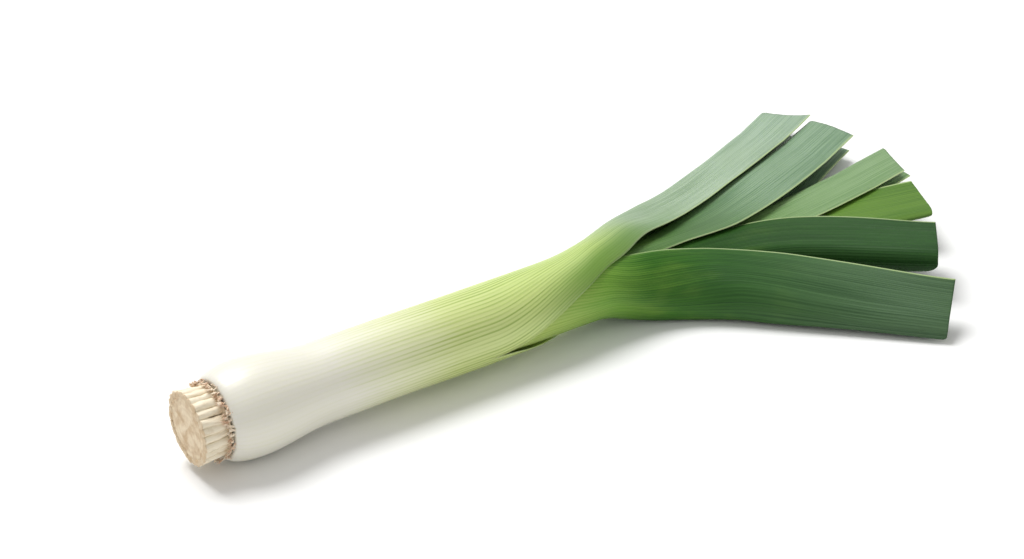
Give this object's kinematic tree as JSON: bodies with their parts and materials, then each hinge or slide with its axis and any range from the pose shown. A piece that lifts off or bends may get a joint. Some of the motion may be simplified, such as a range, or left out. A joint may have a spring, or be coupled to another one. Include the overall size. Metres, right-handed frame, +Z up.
{
  "type": "leek",
  "caption": "Trimmed leek lying on its side: a ring of cut roots, a white bulb and shaft of nested leaf sheaths, and folded green leaves cut in a fan.",
  "frame": {"origin": "on the resting surface, under the centre of the leek's bounding box", "axes": "+X along the shaft from the cut roots to the leaf tips, +Z up off the resting surface, +Y to the side the outermost leaf bends to"},
  "size_m": [0.4012, 0.2134, 0.0406],
  "materials": {
    "outer_leaf": "satin, ivory at the bulb turning to grey-green with a waxy bloom",
    "dark_leaf": "satin, dark bluish green with fine lengthwise veins",
    "bloom_leaf": "satin, mid green with a pale waxy bloom",
    "heart_leaf": "satin, light yellow-green",
    "root_plate": "matte, rough tan cut face",
    "root": "matte, cream root stubs"
  },
  "bodies": {
    "root": {"outer_leaf_far": "outer_leaf", "outer_leaf_near": "dark_leaf", "second_leaf_far": "bloom_leaf", "second_leaf_near": "dark_leaf", "third_leaf_far": "bloom_leaf", "heart_leaf": "heart_leaf", "root_plate": "root_plate", "root_01": "root", "root_02": "root", "root_03": "root", "root_04": "root", "root_05": "root", "root_06": "root", "root_07": "root", "root_08": "root", "root_09": "root", "root_10": "root", "root_11": "root", "root_12": "root", "root_13": "root", "root_14": "root", "root_15": "root", "root_16": "root", "root_17": "root", "root_18": "root", "root_19": "root", "root_20": "root", "root_21": "root", "root_22": "root", "root_23": "root", "root_24": "root", "root_25": "root", "root_26": "root"}
  },
  "joints": []
}
